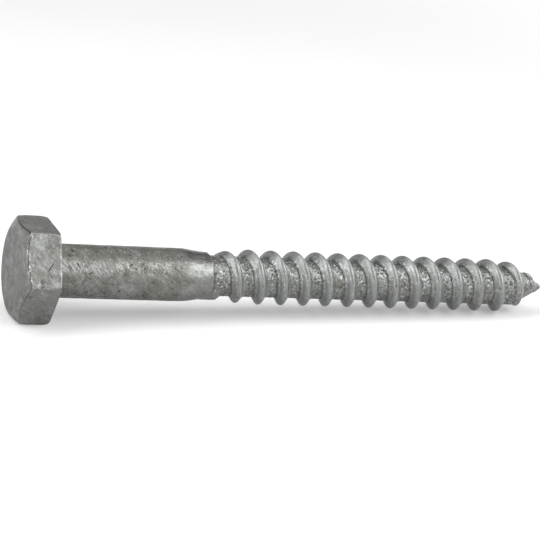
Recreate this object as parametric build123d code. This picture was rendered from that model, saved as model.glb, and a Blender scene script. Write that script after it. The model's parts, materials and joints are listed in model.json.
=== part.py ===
from build123d import *
from math import atan, ceil, cos, degrees, floor, radians, tan
import os

# Coach screw, hot-dip galvanised: a hexagon head, a plain shank, a coarse wood thread and a cone point,
# forged and rolled from one piece of steel. Sizes are in millimetres, over the zinc.
# The screw is built standing on its axis, with the underside of the head at Z = 0 and the point at +Z,
# and is then laid down as it comes to rest.

thread_diameter = 10.0        # over the crest of the ridge
root_diameter = 7.3           # between the turns of the ridge
pitch = 4.5                   # one turn of the single-start, right-hand ridge
length = 99.2                 # underside of the head to the end of the point

head_across_flats = 16.8
head_height = 6.4
head_edge_radius = 0.35       # the six long edges
head_face_diameter = 15.7     # flat circle left on the head's end by its chamfer
head_chamfer_angle = 30.0     # between the chamfer and the head's end

shank_diameter = 9.6
shank_length = 24.0           # underside of the head to where the neck begins
shank_fillet = 0.6            # where the shank meets the head
neck_diameter = 8.55          # the rolled blank, just before the thread
neck_length = 5.5
shoulder_length = 0.9         # slope from the neck down to the thread's root

crest_width = 0.6             # along the axis
head_side_run = 0.45          # axial run of the steep flank, which faces the head
point_side_run = 1.15         # axial run of the sloping flank, which faces the point
ridge_sink = 0.3              # how far the ridge's foot reaches into the body

ridge_lead = 1.1              # the ridge starts inside the neck, this far before the neck ends
ridge_start_angle = 147.0     # direction of the start, turned from +X about the axis
hidden_turns = 0.25           # turns before the ridge begins to grow
run_in_turns = 2.0            # turns until it has its full height
opening_turns = 0.5           # turns before the groove opens beside the neck, and over which it opens

point_length = 6.5            # the cone and its blunt end
point_end_diameter = 1.1
point_end_height = 0.3        # rise of the rounded end
point_ridge_height = 0.7      # height of the ridge on the cone
fade_lead = 3.4               # the ridge starts to get lower this far before the cone
ridge_end_gap = 0.9           # bare cone between the ridge's end and the end of the point
ridge_end_turns = 0.4         # turns over which the ridge dies away
end_section_share = 0.4       # size of the ridge's section at its end, as a share of the full one

sections_per_turn = 8

head_apothem = head_across_flats / 2
head_corner = head_apothem / cos(radians(30))
head_face_radius = head_face_diameter / 2
thread_radius = thread_diameter / 2
root_radius = root_diameter / 2
neck_radius = neck_diameter / 2
shank_radius = shank_diameter / 2
point_end_radius = point_end_diameter / 2
full_height = thread_radius - root_radius
neck_height = neck_radius - root_radius

neck_end = shank_length + neck_length
root_start = neck_end + shoulder_length
cone_start = length - point_length
cone_end = length - point_end_height
cone_slope = (root_radius - point_end_radius) / (cone_end - cone_start)

ridge_start = neck_end - ridge_lead
ridge_full = ridge_start + run_in_turns * pitch
fade_start = cone_start - fade_lead
fade_end = fade_start + pitch
ridge_end = length - ridge_end_gap


def share(value, start, end):
    # How far a value has gone from start to end, from 0 to 1.
    return min(1.0, max(0.0, (value - start) / (end - start)))


def root_at(z):
    # Radius of the thread's root, which follows the cone of the point.
    return root_radius - cone_slope * max(0.0, z - cone_start)


def ridge_height_at(z):
    # Height of the ridge over the root: low at the neck, full on the body, lower again on the point.
    turns = (z - ridge_start) / pitch
    grown = neck_height + (full_height - neck_height) * share(turns, hidden_turns, run_in_turns)
    lowered = grown + (point_ridge_height - full_height) * share(z, fade_start, fade_end)
    return lowered * share(z, ridge_end, ridge_end - ridge_end_turns * pitch)


def ridge_section(z):
    # The ridge cut by the half-plane through the axis, where its middle is at height z. The radius is
    # sketched along X and the axis along Y. While it is buried the section reaches back under the neck and
    # is broad on its other side, so the groove opens only where the ridge has left the neck.
    turns = (z - ridge_start) / pitch
    height = ridge_height_at(z)
    size = 1 - (1 - end_section_share) * share(z, fade_start, ridge_end)
    buried = 1 - share(turns, opening_turns, 2 * opening_turns)
    reach_back = (z - ridge_start) * buried
    broader = point_side_run * max(0.0, 1 - height / full_height) * buried
    half_crest = crest_width / 2 * size
    foot = size + ridge_sink / full_height
    head_edge = z - half_crest - reach_back
    point_edge = z + half_crest + broader
    head_foot = head_edge - head_side_run * foot
    point_foot = z + half_crest + point_side_run * foot
    with BuildSketch(Plane.XY) as section:
        with BuildLine():
            Polyline(
                (root_at(head_edge) + height, head_edge),
                (root_at(head_foot) - ridge_sink, head_foot),
                (root_at(point_foot) - ridge_sink, point_foot),
                (root_at(point_edge) + height, point_edge),
                close=True,
            )
        make_face()
    return Rot(0, 0, ridge_start_angle + 360 * turns) * Rot(90, 0, 0) * section.sketch


def ridge_loft(start, end):
    steps = ceil((end - start) / pitch * sections_per_turn)
    return loft([ridge_section(start + (end - start) * step / steps) for step in range(steps + 1)])


def make_ridge():
    # One sweep where the section stays the same, and lofts where the ridge grows and fades.
    turn_to_start = Rot(0, 0, ridge_start_angle + 360 * (ridge_full - ridge_start) / pitch)
    spiral = turn_to_start * Helix(pitch, fade_start - ridge_full, thread_radius, center=(0, 0, ridge_full))
    body = sweep(ridge_section(ridge_full), path=spiral, is_frenet=True)
    return [ridge_loft(ridge_start, ridge_full), body, ridge_loft(fade_start, ridge_end)]


def make_shank():
    # All that is round about the axis, as one turned outline: shank, neck, root and point.
    inside_head = -head_height / 2
    neck_middle = ((shank_radius + neck_radius) / 2, shank_length + neck_length / 2)
    with BuildSketch(Plane.XZ) as outline:
        with BuildLine():
            Polyline((0, length), (0, inside_head), (shank_radius, inside_head), (shank_radius, shank_length))
            TangentArc((shank_radius, shank_length), neck_middle, tangent=(0, 1))
            TangentArc((neck_radius, neck_end), neck_middle, tangent=(0, -1))
            Polyline(
                (neck_radius, neck_end),
                (root_radius, root_start),
                (root_radius, cone_start),
                (point_end_radius, cone_end),
            )
            TangentArc((0, length), (point_end_radius, cone_end), tangent=(1, 0))
        make_face()
    return revolve(outline.sketch, Axis.Z)


def make_head():
    # A hexagon with flats on +X and -X and corners on +Y and -Y, its end chamfered by a cone.
    with BuildSketch(Plane.XY.offset(-head_height)) as hexagon:
        RegularPolygon(head_corner, 6, rotation=30)
        fillet(hexagon.vertices(), head_edge_radius)
    prism = extrude(hexagon.sketch, head_height)
    chamfer_height = (head_corner - head_face_radius) * tan(radians(head_chamfer_angle))
    with BuildSketch(Plane.XZ) as envelope:
        with BuildLine():
            Polyline(
                (0, 0),
                (head_corner, 0),
                (head_corner, chamfer_height - head_height),
                (head_face_radius, -head_height),
                (0, -head_height),
                close=True,
            )
        make_face()
    return prism & revolve(envelope.sketch, Axis.Z)


def is_shank_joint(edge):
    return abs(edge.center().Z) < 0.01 and abs(edge.radius - shank_radius) < 0.01


def lay_down(screw):
    # The screw rests on a flat of its head and on the ridge's lowest crest, so the point is the lower end.
    # The flat and the crests below the axis lie on the +X side of the standing screw.
    first_crest = ridge_start + (360 - ridge_start_angle) / 360 * pitch
    crests = [first_crest + turn * pitch for turn in range(floor((ridge_end - first_crest) / pitch) + 1)]
    rise = min((head_apothem - root_at(z) - ridge_height_at(z)) / (z + crest_width / 2) for z in crests)
    return Rot(0, 90 + degrees(atan(rise)), 0) * screw


body = make_head() + make_shank()
body = fillet(body.edges().filter_by(GeomType.CIRCLE).filter_by(is_shank_joint), shank_fillet)
for ridge in make_ridge():
    body = body + ridge
coach_screw = lay_down(body)
coach_screw.label = "coach_screw"

os.makedirs("parts", exist_ok=True)
export_step(coach_screw, "parts/coach_screw.step")
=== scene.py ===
import json
import math

import bpy
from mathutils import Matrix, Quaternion, Vector


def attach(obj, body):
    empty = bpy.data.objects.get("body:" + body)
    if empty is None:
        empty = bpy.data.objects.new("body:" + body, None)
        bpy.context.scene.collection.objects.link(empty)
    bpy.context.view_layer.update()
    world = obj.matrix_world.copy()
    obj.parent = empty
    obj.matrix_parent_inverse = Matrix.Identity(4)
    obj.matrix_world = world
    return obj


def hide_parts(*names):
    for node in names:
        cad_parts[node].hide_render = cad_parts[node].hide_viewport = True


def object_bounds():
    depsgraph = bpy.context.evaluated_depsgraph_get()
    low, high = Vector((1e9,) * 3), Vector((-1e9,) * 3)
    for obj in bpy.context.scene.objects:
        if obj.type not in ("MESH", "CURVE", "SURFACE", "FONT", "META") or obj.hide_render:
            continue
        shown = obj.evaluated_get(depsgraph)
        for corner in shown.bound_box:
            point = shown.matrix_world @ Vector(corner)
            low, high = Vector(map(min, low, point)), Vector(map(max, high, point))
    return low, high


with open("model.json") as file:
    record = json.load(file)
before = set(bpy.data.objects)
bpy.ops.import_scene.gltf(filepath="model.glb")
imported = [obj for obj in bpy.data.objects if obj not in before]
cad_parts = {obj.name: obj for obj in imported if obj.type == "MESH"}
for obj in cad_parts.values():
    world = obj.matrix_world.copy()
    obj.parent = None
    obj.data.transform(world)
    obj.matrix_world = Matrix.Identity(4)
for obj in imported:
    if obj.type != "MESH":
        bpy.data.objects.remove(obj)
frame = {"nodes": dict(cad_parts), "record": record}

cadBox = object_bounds()
mounts = {mount["name"]: mount for mount in frame["record"]["mounts"]}
tilt = math.atan2(-mounts["wood_thread"]["axis"][2], mounts["wood_thread"]["axis"][0])
fullTurn = 2 * math.pi
metresPerMillimetre = 0.001
print("frame loaded:", sorted(frame["nodes"]))


# A socket that takes part in plain Python maths, in a geometry tree or a material.
class Value:
    def __init__(self, graph, socket):
        self.graph = graph
        self.socket = socket

    def __add__(self, other):
        return self.graph.math("ADD", self, other)

    def __sub__(self, other):
        return self.graph.math("SUBTRACT", self, other)

    def __rsub__(self, other):
        return self.graph.math("SUBTRACT", other, self)

    def __mul__(self, other):
        return self.graph.math("MULTIPLY", self, other)

    def __truediv__(self, other):
        return self.graph.math("DIVIDE", self, other)

    def __neg__(self):
        return self.graph.math("MULTIPLY", self, -1.0)

    __radd__ = __add__
    __rmul__ = __mul__


class Graph:
    def __init__(self, tree):
        self.tree = tree

    # Any node: its type, its settings first, then the values or links of its sockets.
    def node(self, kind, settings=None, sockets=None, out=0):
        made = self.tree.nodes.new(kind)
        for name, value in (settings or {}).items():
            if name == "stops":
                self.setStops(made.color_ramp, value)
            else:
                setattr(made, name, value)
        for name, value in (sockets or {}).items():
            for each in value if isinstance(value, list) else [value]:
                self.plug(made.inputs[name], each)
        return Value(self, made.outputs[out]) if len(made.outputs) else made

    def plug(self, socket, value):
        if isinstance(value, Value):
            self.tree.links.new(value.socket, socket)
        else:
            socket.default_value = value

    def setStops(self, ramp, stops):
        while len(ramp.elements) < len(stops):
            ramp.elements.new(1.0)
        for element, (position, colour) in zip(ramp.elements, stops):
            element.position = position
            element.color = colour

    def math(self, operation, *values):
        return self.node("ShaderNodeMath", {"operation": operation}, dict(enumerate(values)))

    def greater(self, first, second):
        return self.math("GREATER_THAN", first, second)

    # The greatest of several values.
    def most(self, first, *others):
        for other in others:
            first = self.math("MAXIMUM", first, other)
        return first

    def distance(self, first, second):
        return self.math("ABSOLUTE", first - second)

    def smooth(self, value, low, high, start=0.0, end=1.0):
        sockets = {"Value": value, "From Min": low, "From Max": high, "To Min": start, "To Max": end}
        return self.node("ShaderNodeMapRange", {"interpolation_type": "SMOOTHSTEP"}, sockets)

    def ramp(self, value, low, high, start=0.0, end=1.0):
        sockets = {"Value": value, "From Min": low, "From Max": high, "To Min": start, "To Max": end}
        return self.node("ShaderNodeMapRange", {"clamp": True}, sockets)

    # A soft line where a value passes a place, and how far it reaches to either side.
    def line(self, value, place, reach):
        return self.smooth(self.distance(value, place), reach, 0.0)

    def vector(self, x, y, z):
        return self.node("ShaderNodeCombineXYZ", None, {0: x, 1: y, 2: z})

    def parts(self, vector):
        made = self.node("ShaderNodeSeparateXYZ", None, {0: vector})
        return [Value(self, socket) for socket in made.socket.node.outputs]

    def vectors(self, operation, first, second, out=0):
        return self.node("ShaderNodeVectorMath", {"operation": operation}, {0: first, 1: second}, out)

    def scaled(self, vector, factor):
        return self.node("ShaderNodeVectorMath", {"operation": "SCALE"}, {"Vector": vector, "Scale": factor})

    def noise(self, where, scale, detail=2.0, roughness=0.5, warp=0.0):
        sockets = {"Vector": where, "Scale": scale, "Detail": detail, "Roughness": roughness, "Distortion": warp}
        return self.node("ShaderNodeTexNoise", None, sockets)

    # Coordinates drawn out along a direction that slants from the screw's axis.
    def slanted(self, where, slant, stretch):
        sockets = {"Vector": where, "Rotation": (0.0, math.radians(slant), 0.0), "Scale": stretch}
        return self.node("ShaderNodeMapping", {"vector_type": "TEXTURE"}, sockets)

    # How far it is to the middle of the nearest cell, and that cell's own number from 0 to 1.
    def cells(self, where, scale):
        made = self.node("ShaderNodeTexVoronoi", None, {"Vector": where, "Scale": scale}).socket.node
        return Value(self, made.outputs["Distance"]), self.parts(Value(self, made.outputs["Color"]))[0]

    def mixed(self, factor, first, second):
        return self.node("ShaderNodeMix", {"data_type": "RGBA"}, {0: factor, 6: first, 7: second}, 2)

    def stored(self, geometry, values):
        for name, value in values.items():
            sockets = {"Geometry": geometry, "Name": name, "Value": value}
            geometry = self.node("GeometryNodeStoreNamedAttribute", {"data_type": "FLOAT"}, sockets)
        return geometry

    def named(self, name):
        return self.node("GeometryNodeInputNamedAttribute", {"data_type": "FLOAT"}, {"Name": name})


# ---- the screw, in millimetres along its own axis from the underside of the head

screw = {
    "pitch": 4.5,
    "length": 99.2,
    "threadRadius": mounts["wood_thread"]["dims"]["r_mm"],
    "rootRadius": 3.61,
    "headApothem": mounts["hexagon_drive"]["dims"]["r_mm"],
    "headHeight": mounts["hexagon_drive"]["dims"]["length_mm"],
    "faceRadius": 7.85,
    "chamferSlope": math.tan(math.radians(30)),
    "chamferRound": 0.3,      # how softly the end face turns into the chamfer
    "cornerWear": 0.35,       # taken off the six corners at the bearing face
    "cornerReach": 1.1,       # how far from a corner it is still worn
    "beadSide": math.radians(240),  # the flat whose edges carry the thickest zinc and the strongest painted glints
    "edgeReach": 1.2,         # how far from the chamfer's edge and the bearing face's the head is still softened
    "longEdgeReach": 0.1,     # the same for its six long edges
    "rimReach": 1.5,          # the same for the edge of its end face
    "edgeSoftness": 3,        # rounds of smoothing at the head's edges
    "shankRadius": mounts["shank"]["dims"]["r_mm"],
    "shankLength": 24.0,
    "fillet": 0.6,
    "neckRadius": 4.275,
    "neckEnd": 29.6,
    "neckSkew": 0.3,          # the neck ends that much later at the bottom and sooner at the top
    "neckSoftness": 0.12,
    "shoulder": 0.45,
    "shoulderSoftness": 0.15,
    "coneStart": 92.7,
    "coneSlope": 0.5,
    "tipRadius": 0.55,        # of the blunt end, which is rounded by the rise
    "tipRise": 0.3,
    "ridgeStart": 28.36,      # along the axis, and how far round from the lowest line
    "ridgeAngle": math.radians(147),
    "ridgeEnd": 98.3,
    "headHalf": 1.28,         # of the ridge's section: its reach to the head and to the point, and its fullness
    "pointHalf": 1.45,
    "fullness": 1.75,
    "footDrop": 1.5,          # how steeply the section goes on below the root
    "headFootRound": 0.2,     # how softly the ridge rises on either side
    "pointFootRound": 0.3,
    "riseFrom": 0.3,          # turns from the ridge's start over which it comes up out of the neck
    "riseTo": 0.55,
    "openFrom": 0.5,          # turns over which the groove opens beside the neck
    "openTo": 1.0,
    "growFrom": 0.25,         # turns over which the ridge grows to its full height
    "growTo": 2.0,
    "lumpNarrowing": 0.6,     # how much a low ridge beside the neck loses on the side of the point
    "fadeStart": 89.3,        # from here the ridge gets lower and narrower
    "pointRidge": 0.7,
    "pointNarrowing": 0.6,
    "endTaper": 0.4,          # turns over which the ridge ends
    "seamWidth": 0.17,        # half of it, of the dark line along the ridge's foot on the head side, partly dross and partly painted shade
    "seamShift": -0.02,
    "columns": 144,           # of the mesh, around the axis
    "columnCrowding": 0.1,    # how much the columns crowd on the head's long edges
    "rowsPerTurn": 24,
    "rowCrowding": 0.4,       # how much the rows crowd on the ridge
    "stripStart": 1.0,        # where the head's grid hands over to the spiral strip
    "squeezeFrom": 97.0,      # rows crowd towards the very end from here
    "lastRow": 0.04,          # the share of that squeeze below which rows fall on the very end
}

# Where one zone of the screw's surface gives way to the next, in millimetres.
zones = {
    "grooveTop": 0.4, "grooveFloor": 0.08,      # heights over the thread's root
    "grooveFrom": -0.2, "threadFrom": 0.5,      # past the end of the neck
    "ridgeHidden": 0.3, "ridgeProud": 0.8,      # heights of the ridge over the blank
    "leeFull": 0.4, "leeFading": 0.6, "leeEnd": 1.3,    # shares of the ridge's reach towards the point, over which its flank gets painted light
    "neckFrom": 23.0, "neckFull": 26.5,
    "ringClear": 0.05, "ringCovered": 0.2,      # heights over the blank
    "headFrom": 0.4, "headFull": -0.2,
    "faceFrom": -0.1, "faceFull": 0.9,          # inwards from the edge of the end face
    "faceBack": -4.0, "faceFront": -5.0,
}

# Fine rings round the end of the neck: how far past it each lies and how far it reaches to either side.
neckRing = (-0.1, 0.16)
shoulderRingReach = 0.2


# Everything that is round about the axis: shank, neck, root, cone and rounded end.
def roundBody(g, s, x, neckEnd):
    shank = g.smooth(x, s["shankLength"], neckEnd, s["shankRadius"], s["neckRadius"])
    shoulder = s["neckRadius"] - (x - neckEnd) * ((s["neckRadius"] - s["rootRadius"]) / s["shoulder"])
    root = s["rootRadius"] - g.most(x - s["coneStart"], 0.0) * s["coneSlope"]
    beyondNeck = g.math("SMOOTH_MAX", shoulder, root, s["shoulderSoftness"])
    blank = g.math("SMOOTH_MIN", shank, beyondNeck, s["neckSoftness"])
    cap = (s["tipRadius"] * s["tipRadius"] + s["tipRise"] * s["tipRise"]) / (s["tipRise"] * 2.0)
    reach = x - (s["length"] - cap)
    dome = g.math("SQRT", g.most(cap * cap - reach * reach, 0.0))
    onTip = g.greater(x, s["length"] - s["tipRise"])
    return blank + (g.math("MINIMUM", blank, dome) - blank) * onTip, root


# The section of one turn of the ridge, with the run-in at the neck and the fade at the point. Returned with it are
# the line along its foot on the head side, partly dross and partly painted shade, and its side towards the point,
# which gets painted light.
def ridgeSection(g, s, x, body, root, middle):
    fullHeight = s["threadRadius"] - s["rootRadius"]
    neckHeight = s["neckRadius"] - s["rootRadius"]
    offset = x - middle
    turns = (middle - s["ridgeStart"]) / s["pitch"]
    grown = neckHeight + (fullHeight - neckHeight) * g.ramp(turns, s["growFrom"], s["growTo"])
    lowered = grown + (s["pointRidge"] - fullHeight) * g.ramp(middle, s["fadeStart"], s["fadeStart"] + s["pitch"])
    ending = g.ramp(s["ridgeEnd"] - middle, 0.0, s["pitch"] * s["endTaper"])
    height = lowered * ending * g.ramp(turns, s["riseFrom"], s["riseTo"])
    size = 1.0 - g.ramp(middle, s["fadeStart"], s["ridgeEnd"]) * s["pointNarrowing"]
    # Behind the shoulder the ridge starts as a broad lump, and its own section comes out of that.
    buried = 1.0 - g.ramp(turns, s["openFrom"], s["openTo"])
    reachBack = (middle - s["ridgeStart"]) * buried
    broader = g.most(1.0 - height / fullHeight, 0.0) * buried
    toHead = g.most(-(offset + reachBack), 0.0) / (size * s["headHalf"])
    toPoint = g.most(offset - broader, 0.0) / (size * s["pointHalf"] * (1.0 - broader * s["lumpNarrowing"]))
    out = g.most(toHead, toPoint)
    rise = g.math("POWER", g.most(1.0 - out * out, 0.0), s["fullness"])
    ridge = root + height * (rise - g.most(out - 1.0, 0.0) * s["footDrop"])
    started = g.greater(turns, 0.0)
    proud = g.smooth(root + height - body, zones["ridgeHidden"], zones["ridgeProud"]) * started
    # The dark line along the foot on the head side, which the finish paints, partly dross and partly painted shade in
    # the crease.
    seam = g.line((toHead - 1.0) * s["headHalf"], s["seamShift"], s["seamWidth"])
    # The flank towards the point, which the finish lightens with painted light.
    lee = g.smooth(toPoint, 0.0, zones["leeFull"]) * g.smooth(toPoint, zones["leeEnd"], zones["leeFading"])
    return ridge * started, seam * proud, lee * proud


# The spiral strip from just under the head to the point. Its rows run along the ridge, so that no edge of the
# ridge cuts across them, and neighbouring turns are welded later.
def spiralStrip(g, s):
    grid = g.node("GeometryNodeMeshGrid", None, {
        "Size X": s["turns"], "Size Y": 1.0,
        "Vertices X": s["turns"] * s["columns"] + 1.0, "Vertices Y": s["rowsPerTurn"] + 1.0,
    })
    along, across, _ = g.parts(g.node("GeometryNodeInputPosition"))
    turn = along + s["turns"] / 2.0
    angle = turn * fullTurn
    middle = s["stripBase"] + (turn + 0.5) * s["pitch"]
    crowd = g.ramp(middle, s["shankLength"], s["ridgeStart"]) * s["rowCrowding"]
    raw = middle + (across - g.math("SINE", across * fullTurn) * crowd / fullTurn) * s["pitch"]
    # The squeeze starts at the rows' own pace and slows down to nothing at the end of the point.
    room = s["length"] - s["squeezeFrom"]
    left = 1.0 - g.ramp(raw, s["squeezeFrom"], s["squeezeFrom"] + room * 2.0)
    left = left * g.greater(left, s["lastRow"])
    squeezed = s["length"] - left * left * room
    beyond = g.greater(raw, s["squeezeFrom"])
    x = g.most(raw * (1.0 - beyond) + squeezed * beyond, s["stripStart"])
    neckEnd = s["neckEnd"] + s["neckSkew"] * g.math("COSINE", angle)
    body, root = roundBody(g, s, x, neckEnd)
    phase = (x - s["ridgeStart"]) / s["pitch"] - (angle - s["ridgeAngle"]) / fullTurn
    below = x - g.math("FRACT", phase) * s["pitch"]
    behind, _, lee = ridgeSection(g, s, x, body, root, below)
    ahead, seam, _ = ridgeSection(g, s, x, body, root, below + s["pitch"])
    ridge = g.most(behind, ahead)
    # The foot's softness swings between the two sides without a step, because rows of neighbouring turns meet.
    lean = g.math("SINE", phase * fullTurn) * 0.5
    foot = s["headFootRound"] * (0.5 - lean) + s["pointFootRound"] * (lean + 0.5)
    radius = g.math("SMOOTH_MAX", body, ridge, foot)
    onTip = g.greater(x, s["length"] - s["tipRise"] * 2.0)
    radius = (radius + (body - radius) * onTip) * g.greater(left, 0.0)
    place = g.vector(x, radius * g.math("SINE", angle), -(radius * g.math("COSINE", angle)))
    pastNeck = x - neckEnd
    groove = g.smooth(radius - root, zones["grooveTop"], zones["grooveFloor"])
    rings = g.most(g.line(pastNeck, *neckRing), g.line(pastNeck, s["shoulder"], shoulderRingReach))
    grid = g.stored(grid, {
        "groove": groove * g.smooth(pastNeck, zones["grooveFrom"], zones["threadFrom"]),
        "seam": seam,
        "lee": lee,
        "ring": rings * (1.0 - g.smooth(radius - body, zones["ringClear"], zones["ringCovered"])),
        "neck": g.smooth(x, zones["neckFrom"], zones["neckFull"]) * g.smooth(pastNeck, zones["threadFrom"], 0.0),
        "thread": g.smooth(pastNeck, 0.0, zones["threadFrom"]),
    })
    return g.node("GeometryNodeSetPosition", None, {"Geometry": grid, "Position": place})


# Lines along the head's edges, in millimetres: where each lies and how far it reaches to either side. The bead and
# lip are zinc, and the glint lines are painted glints. Places on the flat are more than zero, and those on the chamfer
# less.
edgeLines = {
    "bead": (-0.1, 0.5),
    "chamferGlint": (-0.3, 0.22),
    "flatGlint": (0.14, 0.2),
    "lip": (-0.22, 0.3),      # from the bearing face
}
furrowLine = {"place": -0.08, "reach": 0.22, "floor": 0.03}
longEdgeLine = {"reach": 0.35, "full": 0.05}
flatDepth = 0.12              # how far inside the flats a point still lies on them

# How strong each line is, on the flat with the thickest zinc and elsewhere.
edgeStrengths = {
    "lipBead": 0.4, "lipGlint": 0.6, "longGlint": 0.5,
    "thinBead": 0.25, "thinGlint": 0.15, "thickFurrow": 0.7,
    "thickFrom": 0.8, "thickFull": 0.88,        # cosines of the turn away from that flat's middle
}


# The head: rows run from the middle of its end face over the chamfer, down the flats, in under the head and
# round the fillet to the shank, and columns crowd towards the six long edges.
def headGrid(g, s):
    rows = {"face": 26, "chamfer": 9, "flat": 26, "under": 16, "fillet": 5, "shank": 2}
    total = sum(rows.values())
    grid = g.node("GeometryNodeMeshGrid", None, {
        "Size X": 1.0, "Size Y": float(total), "Vertices X": s["columns"] + 1.0, "Vertices Y": total + 1,
    })
    around, down, _ = g.parts(g.node("GeometryNodeInputPosition"))
    even = (around + 0.5) * fullTurn
    row = down + total / 2
    crowded = even + g.math("SINE", even * 6.0) * s["columnCrowding"]
    sector = g.math("WRAP", crowded, math.pi / 6, -math.pi / 6)
    hexagon = s["headApothem"] / g.math("COSINE", sector)
    bottomRadius = s["shankRadius"] + s["fillet"]
    chamferEnd = (hexagon - s["faceRadius"]) * s["chamferSlope"] - s["headHeight"]
    faceEnd = -s["headHeight"]
    # Each stretch: its rows, its start and end along the axis and in radius, and how its rows crowd to its ends.
    stretches = [
        (rows["face"], faceEnd, faceEnd, 0.0, s["faceRadius"], 0.0),
        (rows["chamfer"], faceEnd, chamferEnd, s["faceRadius"], hexagon, 0.5),
        (rows["flat"], chamferEnd, 0.0, hexagon, hexagon, 0.6),
        (rows["under"], 0.0, 0.0, hexagon, bottomRadius, 0.5),
    ]
    x, radius, first = faceEnd, 0.0, 0
    for count, startX, endX, startRadius, endRadius, crowding in stretches:
        evenly = g.ramp(row, first, first + count)
        share = evenly + (g.smooth(evenly, 0.0, 1.0) - evenly) * crowding
        x = x + (endX - startX) * share
        radius = radius + (endRadius - startRadius) * share
        first = first + count
    # The end face turns into the chamfer in a soft crown.
    flatStart = rows["face"] + rows["chamfer"]
    fall = (radius - s["faceRadius"]) * s["chamferSlope"]
    crown = g.math("SMOOTH_MAX", fall, 0.0, s["chamferRound"]) - g.most(fall, 0.0)
    x = x + crown * (1.0 - g.ramp(row, flatStart - 1, flatStart))
    # The corners at the bearing face are worn.
    side = s["headApothem"] * math.tan(math.pi / 6) - g.math("ABSOLUTE", g.math("SINE", sector) * hexagon)
    toCorner = g.math("ABSOLUTE", x) + side + g.distance(hexagon, radius) * 0.5
    worn = 1.0 - g.ramp(toCorner, 0.0, s["cornerReach"])
    radius = radius - worn * worn * s["cornerWear"]
    # The fillet and the first of the shank.
    bend = g.ramp(row, first, first + rows["fillet"]) * (math.pi / 2)
    x = x + (1.0 - g.math("COSINE", bend)) * s["fillet"]
    radius = radius - g.math("SINE", bend) * s["fillet"]
    first = first + rows["fillet"]
    x = x + g.ramp(row, first, first + rows["shank"]) * (s["stripStart"] - s["fillet"])
    # Columns stand evenly again in the middle of the end face and at the shank.
    underStart = flatStart + rows["flat"]
    spread = g.ramp(row, underStart + 2, total - rows["shank"] - rows["fillet"])
    inner = g.ramp(row, 0, rows["face"] * 0.5)
    angle = even + (crowded - even) * (1.0 - spread) * inner
    place = g.vector(x, radius * g.math("SINE", angle), -(radius * g.math("COSINE", angle)))
    # How near a point is to the head's edges: the long ones, the chamfer's and the bearing face's.
    inside = g.distance(hexagon, radius)
    toLong = inside + side + (s["edgeReach"] - s["longEdgeReach"])
    toChamfer = inside + g.distance(x, chamferEnd)
    toBearing = inside + g.math("ABSOLUTE", x)
    toFace = g.distance(radius, s["faceRadius"]) + g.math("ABSOLUTE", x + s["headHeight"])
    toEdge = g.math("MINIMUM", toLong, g.math("MINIMUM", toChamfer, toBearing))
    # Zinc gathers in beads along the chamfer's edge and the bearing face's, most of all on one flat, with painted
    # glints and dark lines beside them.
    strength = edgeStrengths
    onFlat = g.greater(x, chamferEnd) * (1.0 - g.greater(inside, flatDepth))
    thick = g.smooth(g.math("COSINE", angle - s["beadSide"]), strength["thickFrom"], strength["thickFull"])
    beyond = toChamfer * (onFlat * 2.0 - 1.0)
    lip = g.line(x, *edgeLines["lip"]) * onFlat
    longLine = g.smooth(side + inside, longEdgeLine["reach"], longEdgeLine["full"]) * onFlat
    bead = g.most(g.line(beyond, *edgeLines["bead"]), lip * strength["lipBead"])
    # The glint lines are painted highlights along the edges.
    glint = g.most(g.line(beyond, *edgeLines["chamferGlint"]), g.line(beyond, *edgeLines["flatGlint"]),
                   lip * strength["lipGlint"], longLine * strength["longGlint"])
    furrow = g.smooth(g.distance(beyond, furrowLine["place"]), furrowLine["reach"], furrowLine["floor"])
    onFace = g.smooth(s["faceRadius"] - radius, zones["faceFrom"], zones["faceFull"])
    grid = g.stored(grid, {
        "edge": 1.0 - g.ramp(toEdge, 0.0, s["edgeReach"]),
        "rim": 1.0 - g.ramp(toFace, 0.0, s["rimReach"]),
        "head": g.smooth(x, zones["headFrom"], zones["headFull"]),
        "bead": bead * (thick * (1.0 - strength["thinBead"]) + strength["thinBead"]),
        "glint": glint * (thick * (1.0 - strength["thinGlint"]) + strength["thinGlint"]),
        "furrow": furrow * (1.0 - thick * (1.0 - strength["thickFurrow"])),
        # The end face, which the finish darkens with painted shade.
        "endFace": onFace * g.smooth(x, zones["faceBack"], zones["faceFront"]),
    })
    return g.node("GeometryNodeSetPosition", None, {"Geometry": grid, "Position": place})


# Zinc on the surface, in millimetres: soft swells everywhere, pits here and there, coarse lumps in the groove
# and beads along the head's edges. Scales are per millimetre, and levels are the noise that leaves the surface as
# it is.
relief = {
    "swell": 0.06, "swellScale": 0.3, "swellLevel": 0.62,
    "dimple": 0.05, "dimpleScale": 0.85, "dimpleLevel": 0.6, "dimpleStretch": (0.7, 1.0, 1.0),
    "lump": 0.34, "lumpScale": 1.7, "lumpLevel": 0.42, "lumpWarp": 0.6,
    "pit": 0.14, "pitScale": 0.6, "pitStretch": (0.75, 1.0, 1.0), "pitShare": 0.55,
    "smallestPit": 0.04, "largestPit": 0.24, "pitFloor": 0.3, "pitWarp": 1.2, "pitWarpScale": 1.1,
    "bead": 0.14, "beadScale": 1.3, "beadLevel": 0.01, "beadFrom": 0.45, "beadFull": 0.6,
    "furrow": 0.05,
    "lostOnThread": 0.6,      # the share of the swells that the rolled thread loses
    "lostAtSeam": 0.85,
    "leftAtPoint": 0.25,
}


def zincPits(g, where):
    stretched = g.vectors("MULTIPLY", where, relief["pitStretch"])
    warp = g.scaled(g.noise(where, relief["pitWarpScale"]), relief["pitWarp"])
    warped = g.vectors("ADD", stretched, warp)
    toMiddle, luck = g.cells(warped, relief["pitScale"])
    unlucky = 1.0 - relief["pitShare"]
    size = g.ramp(luck, unlucky, 1.0, relief["smallestPit"], relief["largestPit"])
    return g.smooth(toMiddle, size, size * relief["pitFloor"]) * g.greater(luck, unlucky)


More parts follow.
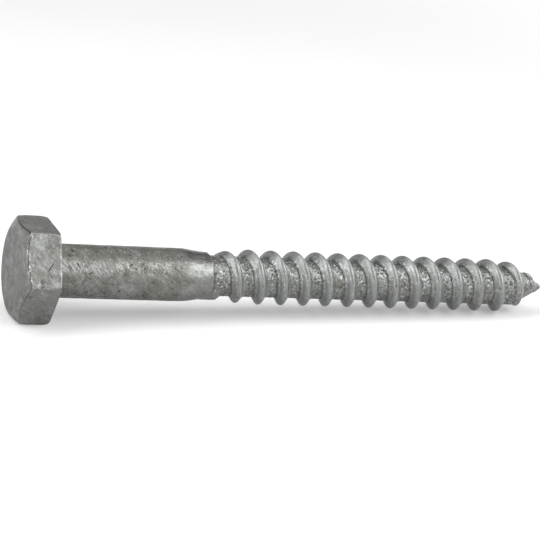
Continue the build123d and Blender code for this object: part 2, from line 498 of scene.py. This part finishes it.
def zincRelief(g, where, pits):
    swell = g.noise(where, relief["swellScale"], 1.0) - relief["swellLevel"]
    stretched = g.vectors("MULTIPLY", where, relief["dimpleStretch"])
    dimple = g.noise(stretched, relief["dimpleScale"]) - relief["dimpleLevel"]
    lump = g.noise(where, relief["lumpScale"], warp=relief["lumpWarp"]) - relief["lumpLevel"]
    beadLumps = g.smooth(g.noise(where, relief["beadScale"]), relief["beadFrom"], relief["beadFull"])
    onBlank = swell * relief["swell"] + dimple * relief["dimple"]
    onBlank = onBlank * (1.0 - g.named("thread") * relief["lostOnThread"])
    rough = lump * g.named("groove") * relief["lump"] - pits * relief["pit"]
    rough = rough * (1.0 - g.named("seam") * relief["lostAtSeam"])
    away = g.ramp(g.parts(where)[0], screw["ridgeEnd"], screw["coneStart"], relief["leftAtPoint"], 1.0)
    onEdges = g.named("bead") * (beadLumps * relief["bead"] - relief["beadLevel"])
    return (onBlank + rough) * away + onEdges - g.named("furrow") * relief["furrow"]


weldDistance = 0.0005
fullySoft = 0.7               # nearness to an edge from which smoothing works in full


def screwTree(sizes):
    tree = bpy.data.node_groups.new("screwSurface", "GeometryNodeTree")
    sockets = {}
    for name in sizes:
        sockets[name] = tree.interface.new_socket(name, in_out="INPUT", socket_type="NodeSocketFloat")
    sockets["finish"] = tree.interface.new_socket("finish", in_out="INPUT", socket_type="NodeSocketMaterial")
    tree.interface.new_socket("Geometry", in_out="OUTPUT", socket_type="NodeSocketGeometry")
    g = Graph(tree)
    entry = tree.nodes.new("NodeGroupInput")
    s = {name: Value(g, entry.outputs[name]) for name in sockets}
    joined = g.node("GeometryNodeJoinGeometry", None, {0: [spiralStrip(g, s), headGrid(g, s)]})
    welded = g.node("GeometryNodeMergeByDistance", None, {"Geometry": joined, "Distance": weldDistance})
    softened = g.node("GeometryNodeBlurAttribute", {"data_type": "FLOAT_VECTOR"}, {
        "Value": g.node("GeometryNodeInputPosition"), "Iterations": s["edgeSoftness"],
        "Weight": g.smooth(g.most(g.named("edge"), g.named("rim")), 0.0, fullySoft),
    })
    rounded = g.node("GeometryNodeSetPosition", None, {"Geometry": welded, "Position": softened})
    place = g.node("GeometryNodeInputPosition")
    pitted = g.stored(rounded, {"pit": zincPits(g, place)})
    offset = g.scaled(g.node("GeometryNodeInputNormal"), zincRelief(g, place, g.named("pit")))
    coated = g.node("GeometryNodeSetPosition", None, {"Geometry": pitted, "Offset": offset})
    placed = g.node("GeometryNodeTransform", None, {
        "Geometry": coated, "Rotation": (0.0, tilt, 0.0), "Scale": (metresPerMillimetre,) * 3,
    })
    # No lump of zinc stands out of the screw's own box.
    kept = g.vectors("MINIMUM", g.node("GeometryNodeInputPosition"), tuple(cadBox[1]))
    kept = g.vectors("MAXIMUM", kept, tuple(cadBox[0]))
    trimmed = g.node("GeometryNodeSetPosition", None, {"Geometry": placed, "Position": kept})
    shaded = g.node("GeometryNodeSetShadeSmooth", None, {"Geometry": trimmed})
    solid = g.node("GeometryNodeRealizeInstances", None, {"Geometry": shaded})
    finished = g.node("GeometryNodeSetMaterial", None, {"Geometry": solid, "Material": s["finish"]})
    g.plug(tree.nodes.new("NodeGroupOutput").inputs[0], finished)
    return tree, {name: socket.identifier for name, socket in sockets.items()}


def makeScrew(finish):
    sizes = dict(screw)
    # The strip starts whole turns before the ridge, so that its rows run along the ridge.
    base = sizes["ridgeStart"] - sizes["pitch"] * sizes["ridgeAngle"] / fullTurn - sizes["pitch"] / 2
    spare = math.ceil((base + sizes["pitch"] - sizes["stripStart"]) / sizes["pitch"])
    sizes["stripBase"] = base - spare * sizes["pitch"]
    sizes["turns"] = math.ceil((sizes["length"] + 3.0 - sizes["stripBase"]) / sizes["pitch"])
    tree, identifiers = screwTree(sizes)
    maker = bpy.data.objects.new("screwMaker", bpy.data.meshes.new("screwMaker"))
    bpy.context.scene.collection.objects.link(maker)
    modifier = maker.modifiers.new("screwSurface", "NODES")
    modifier.node_group = tree
    for name, value in sizes.items():
        modifier[identifiers[name]] = float(value)
    modifier[identifiers["finish"]] = finish
    depsgraph = bpy.context.evaluated_depsgraph_get()
    shape = bpy.data.meshes.new_from_object(maker.evaluated_get(depsgraph))
    bpy.data.objects.remove(maker)
    shape.name = "coachScrewZinc"
    piece = bpy.data.objects.new("coachScrewZinc", shape)
    bpy.context.scene.collection.objects.link(piece)
    triangles = sum(len(face.vertices) - 2 for face in shape.polygons)
    print("screw made:", len(shape.vertices), "points,", triangles, "triangles")
    return piece


# ---- the galvanised finish

zinc = {
    "dark": (0.107, 0.106, 0.094, 1.0),
    "mid": (0.182, 0.184, 0.167, 1.0),
    "pale": (0.28, 0.293, 0.295, 1.0),
    # Bright zinc for flecks, and painted highlight on the ridge's flank towards the point and along the head's edges.
    "brightAndPaintedGlint": (0.52, 0.53, 0.52, 1.0),
    "ridge": (0.293, 0.309, 0.307, 1.0),
    "groove": (0.2, 0.214, 0.216, 1.0),
    "head": (0.21, 0.217, 0.21, 1.0),
    # Painted shade on the head's end face.
    "endFace": (0.09, 0.093, 0.089, 1.0),
    # Dark dross, which along the ridge's foot is partly painted shade.
    "drossAndShade": (0.04, 0.04, 0.035, 1.0),
    "tarnish": (0.24, 0.215, 0.15, 1.0),
}

# The noise at which the zinc has each of its three tones, and what makes up that noise.
toneStops = {"dark": 0.35, "mid": 0.5, "pale": 0.65}
toneShares = {"patch": 0.36, "dash": 0.26, "mottle": 0.16, "grain": 0.22, "crystal": 0.12}

# The colour that each zone is drawn towards, and how far. The end face is darkened with painted shade, and the ridge's
# flank towards the point lightened with painted light.
zoneColours = {
    "ridge": ("ridge", 0.6),
    "groove": ("groove", 0.3),
    "head": ("head", 0.3),
    "endFace": ("endFace", 0.62),
    "lee": ("brightAndPaintedGlint", 0.5),
    "neck": ("pale", 0.3),
}

# Layers of noise: scale per millimetre, detail, roughness and warp. Dashes are drawn out along a slant.
dashSlant = 48
dashStretch = (1.9, 1.0, 0.6)
crystalScale = 2.1
layers = {
    "patch": (0.33, 2.0, 0.5, 0.6),
    "dash": (0.9, 3.0, 0.6, 0.5),
    "mottle": (1.3, 3.0, 0.6, 0.5),
    "grain": (3.6, 2.0, 0.65),
    "fleck": (2.5, 1.5, 0.5, 0.3),
    "broken": (1.9, 2.0, 0.6),
    "stain": (1.8, 1.0),
    "speckle": (2.3, 2.0, 0.55, 0.4),
}

# Bright flecks, partly paler zinc and partly painted glints: the noise over which they come in, and how strong they
# are everywhere and in some zones, and the painted glints along the head's edges.
flecks = {"from": 0.6, "full": 0.7, "everywhere": 0.25, "groove": 0.7, "ridge": 0.2, "head": 0.12, "glint": 0.75}

# Stains in the groove.
stains = {"from": 0.62, "full": 0.72, "strength": 0.3}

# How much of the nicks, and of the dashes' relief, some zones lose.
cleaner = {"head": 0.55, "neck": 0.6, "ridge": 0.6}
quieter = {"head": 0.8, "ridge": 0.65, "neck": 0.55}

# Where dark dross lies, and how dark it is there; along the ridge's foot it is partly painted shade.
drossAndShade = {"pit": 0.8, "seam": 0.72, "furrow": 0.75, "ring": 0.4, "nick": 0.75, "spot": 0.3, "grooveSpot": 0.55}

# Roughness of the zinc where its noise is most and least, what makes up that noise, and what the zones add.
sheen = {"smoothest": 0.33, "roughest": 0.52, "mostNoise": 0.6, "leastNoise": 0.4}
sheenShares = {"dash": 0.4, "mottle": 0.25, "patch": 0.35}
zoneSheen = {"groove": -0.1, "neck": -0.09, "glint": -0.08, "ridge": 0.04}

# Fine relief of the finish, in millimetres.
bump = {"dash": 0.135, "mottle": 0.03, "grain": 0.02, "ridgeGrain": 0.014, "speckle": 0.14, "drossAndShade": 0.04}

# Scratches and gouges: how far along the screw, how far round from its lowest line in degrees, how far out from its
# axis, length and width in millimetres, slant from the axis in degrees and how dark each is.
marks = {
    "flatScratch": {"along": -2, "round": 246.5, "out": 8.45, "length": 2.3, "width": 0.15, "slant": 123, "dark": 0.7},
    "flatSpot": {"along": -3.8, "round": 264.0, "out": 9.2, "length": 0.5, "width": 0.22, "slant": 60, "dark": 0.8},
    "gougeByHead": {"along": 3.4, "round": 200.0, "out": 4.8, "length": 0.6, "width": 0.26, "slant": 50, "dark": 0.85},
    "smallGouge": {"along": 2.5, "round": 216.0, "out": 4.8, "length": 0.4, "width": 0.24, "slant": 20, "dark": 0.75},
    "dent": {"along": 4.0, "round": 238.0, "out": 4.8, "length": 0.9, "width": 0.18, "slant": 60, "dark": 0.65},
    "lowDash": {"along": 7.5, "round": 306.0, "out": 4.8, "length": 0.9, "width": 0.18, "slant": 140, "dark": 0.7},
    "longDash": {"along": 9.2, "round": 275.0, "out": 4.8, "length": 1.2, "width": 0.14, "slant": 8, "dark": 0.6},
    "midDash": {"along": 6.2, "round": 254.0, "out": 4.8, "length": 0.8, "width": 0.14, "slant": 150, "dark": 0.6},
}
markFloor = 0.3               # the share of a mark's width where it is darkest


def scratch(g, where, mark):
    turn, slant = math.radians(mark["round"]), math.radians(mark["slant"])
    upright = Quaternion((0.0, 1.0, 0.0), tilt)
    middle = Vector((mark["along"], mark["out"] * math.sin(turn), -mark["out"] * math.cos(turn)))
    around = Vector((0.0, math.cos(turn), math.sin(turn)))
    reach = upright @ (Vector((1.0, 0.0, 0.0)) * math.cos(slant) + around * math.sin(slant)) * mark["length"]
    start = upright @ middle - reach / 2
    fromStart = g.vectors("SUBTRACT", where, tuple(start))
    share = g.ramp(g.vectors("DOT_PRODUCT", fromStart, tuple(reach), 1), 0.0, reach.length_squared)
    distance = g.vectors("DISTANCE", fromStart, g.scaled(tuple(reach), share), 1)
    ragged = distance + (g.noise(where, 2.0) - 0.5) * mark["width"]
    return g.smooth(ragged, mark["width"], mark["width"] * markFloor) * mark["dark"]


# Small dark nicks, a little longer than wide, at two slants in degrees.
nickSizes = {
    "slants": (50, -35), "stretch": (2.2, 1.4, 1.05), "rarity": 0.45,
    "smallest": 0.08, "largest": 0.26, "floor": 0.45, "ragged": 0.35, "raggedScale": 1.6,
}


def nicks(g, where):
    n = nickSizes
    found = []
    for slant in n["slants"]:
        turned = g.slanted(where, slant, n["stretch"])
        ragged = g.vectors("ADD", turned, g.scaled(g.noise(where, n["raggedScale"]), n["ragged"]))
        toMiddle, luck = g.cells(ragged, 1.0)
        size = g.ramp(luck, n["rarity"], 1.0, n["smallest"], n["largest"])
        found.append(g.smooth(toMiddle, size, size * n["floor"]) * g.greater(luck, n["rarity"]))
    return g.most(*found)


def zincFinish():
    finish = bpy.data.materials.new("galvanisedZinc")
    finish.use_nodes = True
    finish.node_tree.nodes.clear()
    g = Graph(finish.node_tree)
    where = g.scaled(g.node("ShaderNodeTexCoord", None, None, 3), 1 / metresPerMillimetre)
    zone = {}
    for name in ("groove", "pit", "head", "thread", "seam", "lee", "ring", "furrow", "glint", "neck", "endFace"):
        zone[name] = g.node("ShaderNodeAttribute", {"attribute_name": name}, None, 2)
    zone["ridge"] = zone["thread"] * (1.0 - zone["groove"])
    groove, head, ridge, glint = [zone[name] for name in ("groove", "head", "ridge", "glint")]
    # Patches of a few millimetres, slanting dashes, a mottle and a fine grain.
    patch = g.noise(where, *layers["patch"])
    dash = g.noise(g.slanted(where, dashSlant, dashStretch), *layers["dash"])
    mottle = g.noise(where, *layers["mottle"])
    grain = g.noise(where, *layers["grain"])
    _, crystal = g.cells(where, crystalScale)
    tone = patch * toneShares["patch"] + dash * toneShares["dash"] + mottle * toneShares["mottle"]
    tone = tone + grain * toneShares["grain"] + (crystal - 0.5) * groove * toneShares["crystal"]
    stops = [(position, zinc[name]) for name, position in toneStops.items()]
    colour = g.node("ShaderNodeValToRGB", {"stops": stops}, {"Fac": tone})
    for name, (own, share) in zoneColours.items():
        colour = g.mixed(zone[name] * share, colour, zinc[own])
    # Bright flecks, partly paler zinc and partly painted glints, and broken painted glints along the head's edges.
    fleck = g.noise(g.vectors("ADD", where, (7.0, 3.0, 5.0)), *layers["fleck"])
    fleckShare = groove * flecks["groove"] + ridge * flecks["ridge"] - head * flecks["head"] + flecks["everywhere"]
    colour = g.mixed(g.smooth(fleck, flecks["from"], flecks["full"]) * fleckShare, colour, zinc["brightAndPaintedGlint"])
    broken = g.smooth(g.noise(where, *layers["broken"]), 0.5, 0.6)
    colour = g.mixed(glint * broken * flecks["glint"], colour, zinc["brightAndPaintedGlint"])
    # Dark dross in the pits, beside the beads, round the end of the neck and in the marks, and along the ridge's foot
    # dark dross with painted shade in the crease.
    clean = g.most(*[zone[name] * share for name, share in cleaner.items()])
    drossAndShadeShare = g.most(
        zone["pit"] * drossAndShade["pit"],
        zone["seam"] * drossAndShade["seam"],
        zone["furrow"] * (1.0 - broken * 0.5) * drossAndShade["furrow"],
        g.smooth(fleck, 0.4, 0.3) * (groove * drossAndShade["grooveSpot"] + drossAndShade["spot"]),
        zone["ring"] * (1.0 - broken * 0.6) * drossAndShade["ring"],
        nicks(g, where) * (1.0 - clean) * drossAndShade["nick"],
        *[scratch(g, where, mark) for mark in marks.values()],
    )
    colour = g.mixed(drossAndShadeShare, colour, zinc["drossAndShade"])
    stained = g.smooth(g.noise(where, *layers["stain"]), stains["from"], stains["full"])
    colour = g.mixed(groove * stained * stains["strength"], colour, zinc["tarnish"])
    # Pale zinc is smoother than dark.
    paleness = dash * sheenShares["dash"] + mottle * sheenShares["mottle"] + patch * sheenShares["patch"]
    rough = g.ramp(paleness, sheen["leastNoise"], sheen["mostNoise"], sheen["roughest"], sheen["smoothest"])
    for name, change in zoneSheen.items():
        rough = rough + zone[name] * change
    quiet = 1.0 - g.most(*[zone[name] * share for name, share in quieter.items()])
    speckle = g.noise(where, *layers["speckle"])
    height = (dash * bump["dash"] + mottle * bump["mottle"]) * quiet
    height = height + grain * (ridge * bump["ridgeGrain"] + bump["grain"])
    height = height + speckle * groove * bump["speckle"] - drossAndShadeShare * bump["drossAndShade"]
    normal = g.node("ShaderNodeBump", None, {"Height": height, "Distance": metresPerMillimetre, "Strength": 1.0})
    shader = g.node("ShaderNodeBsdfPrincipled", None, {
        "Base Color": colour, "Roughness": rough, "Metallic": 1.0, "Normal": normal,
    })
    g.plug(finish.node_tree.nodes.new("ShaderNodeOutputMaterial").inputs["Surface"], shader)
    return finish


piece = makeScrew(zincFinish())
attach(piece, "root")
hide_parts("coach_screw")


# ---- floor, lamps and camera, in metres and degrees

studio = {
    "radius": 2.9, "corner": 0.2, "height": 1.0, "sides": 64,
    "colour": (0.58, 0.58, 0.58, 1.0),
    "lift": 0.29,             # its own glow near the screw, where the lamps light it
    "glowFrom": 0.25,         # from here its glow grows, so that it stays as pale far from the lamps
    "glowTo": 0.7,
}


def makeStudio():
    level = cadBox[0].z
    radius, corner = studio["radius"], studio["corner"]
    rings = [(radius - corner, level), (radius - corner * 0.3, level + corner * 0.3),
             (radius, level + corner), (radius, level + studio["height"])]
    count = studio["sides"]
    points = []
    for reach, height in rings:
        for side in range(count):
            turn = fullTurn * side / count
            points.append((reach * math.cos(turn), reach * math.sin(turn), height))
    faces = [tuple(range(count))]
    for ring in range(len(rings) - 1):
        for side in range(count):
            first, second = ring * count + side, ring * count + (side + 1) % count
            faces.append((first, second, second + count, first + count))
    shape = bpy.data.meshes.new("floor")
    shape.from_pydata(points, [], faces)
    floor = bpy.data.objects.new("floor", shape)
    bpy.context.scene.collection.objects.link(floor)
    paint = bpy.data.materials.new("paleFloor")
    paint.use_nodes = True
    paint.node_tree.nodes.clear()
    g = Graph(paint.node_tree)
    path = g.node("ShaderNodeLightPath").socket.node.outputs
    seen = [Value(g, path[name]) for name in ("Is Camera Ray", "Is Glossy Ray", "Is Transmission Ray")]
    shown = g.math("MINIMUM", seen[0] + seen[1] + seen[2], 1.0)
    place = g.node("ShaderNodeTexCoord", None, None, 3)
    away = g.node("ShaderNodeVectorMath", {"operation": "LENGTH"}, {0: place}, 1)
    strength = g.smooth(away, studio["glowFrom"], studio["glowTo"], studio["lift"], 1.0)
    matt = g.node("ShaderNodeBsdfDiffuse", None, {"Color": studio["colour"]})
    glow = g.node("ShaderNodeEmission", None, {"Color": shown * strength, "Strength": 1.0})
    both = g.node("ShaderNodeAddShader", None, {0: matt, 1: glow})
    g.plug(paint.node_tree.nodes.new("ShaderNodeOutputMaterial").inputs["Surface"], both)
    shape.materials.append(paint)


lamps = {
    "lowLeft": {"azimuth": -60.0, "elevation": 8.0, "size": 0.2, "power": 0.5},
    "wideLeft": {"azimuth": -90.0, "elevation": 30.0, "size": 0.3, "power": 1.31},
    "key": {"azimuth": 30.0, "elevation": 30.0, "size": 0.3, "power": 0.83},
    "right": {"azimuth": 90.0, "elevation": 30.0, "size": 0.3, "power": 1.07},
    "farRight": {"azimuth": 120.0, "elevation": 30.0, "size": 0.3, "power": 0.2},
    "backTop": {"azimuth": 180.0, "elevation": 52.0, "size": 0.3, "power": 0.35},
    "leftTop": {"azimuth": -100.0, "elevation": 60.0, "size": 0.3, "power": 0.9},
    "keyTop": {"azimuth": 45.0, "elevation": 52.0, "size": 0.3, "power": 0.87},
    "topBack": {"azimuth": 180.0, "elevation": 75.0, "size": 0.3, "power": 0.64},
}
lampDistance = 0.5
worldLight = (0.0, 0.0, 0.0, 1.0)
aim = Vector((0.0420708, 0.0004757, -0.0002832))


def backOff(azimuth, elevation):
    a, e = math.radians(azimuth), math.radians(elevation)
    return Vector((math.sin(a) * math.cos(e), -math.cos(a) * math.cos(e), math.sin(e)))


def makeLamps():
    for name, lamp in lamps.items():
        light = bpy.data.lights.new(name, "AREA")
        light.shape = "SQUARE"
        light.size = lamp["size"]
        light.energy = lamp["power"]
        away = backOff(lamp["azimuth"], lamp["elevation"])
        holder = bpy.data.objects.new(name, light)
        holder.location = aim + away * lampDistance
        holder.rotation_mode = "QUATERNION"
        holder.rotation_quaternion = away.to_track_quat("Z", "Y")
        bpy.context.scene.collection.objects.link(holder)
    world = bpy.data.worlds.new("studio")
    world.use_nodes = True
    world.node_tree.nodes["Background"].inputs["Color"].default_value = worldLight
    bpy.context.scene.world = world


viewer = {
    "azimuth": -23.6701, "elevation": 18.8171, "distance": 0.3522213, "lean": 7.836,
    "lens": 128.208, "sensor": 36.0, "near": 0.01, "far": 20.0,
}


def makeCamera():
    data = bpy.data.cameras.new("camera")
    data.sensor_width = viewer["sensor"]
    data.lens = viewer["lens"]
    data.clip_start, data.clip_end = viewer["near"], viewer["far"]
    camera = bpy.data.objects.new("camera", data)
    away = backOff(viewer["azimuth"], viewer["elevation"])
    camera.location = aim + away * viewer["distance"]
    camera.rotation_mode = "QUATERNION"
    lean = Quaternion((0.0, 0.0, 1.0), math.radians(viewer["lean"]))
    camera.rotation_quaternion = (-away).to_track_quat("-Z", "Y") @ lean
    bpy.context.scene.collection.objects.link(camera)
    bpy.context.scene.camera = camera


makeStudio()
makeLamps()
makeCamera()
bpy.context.scene.view_settings.view_transform = "Standard"
print("stage set")
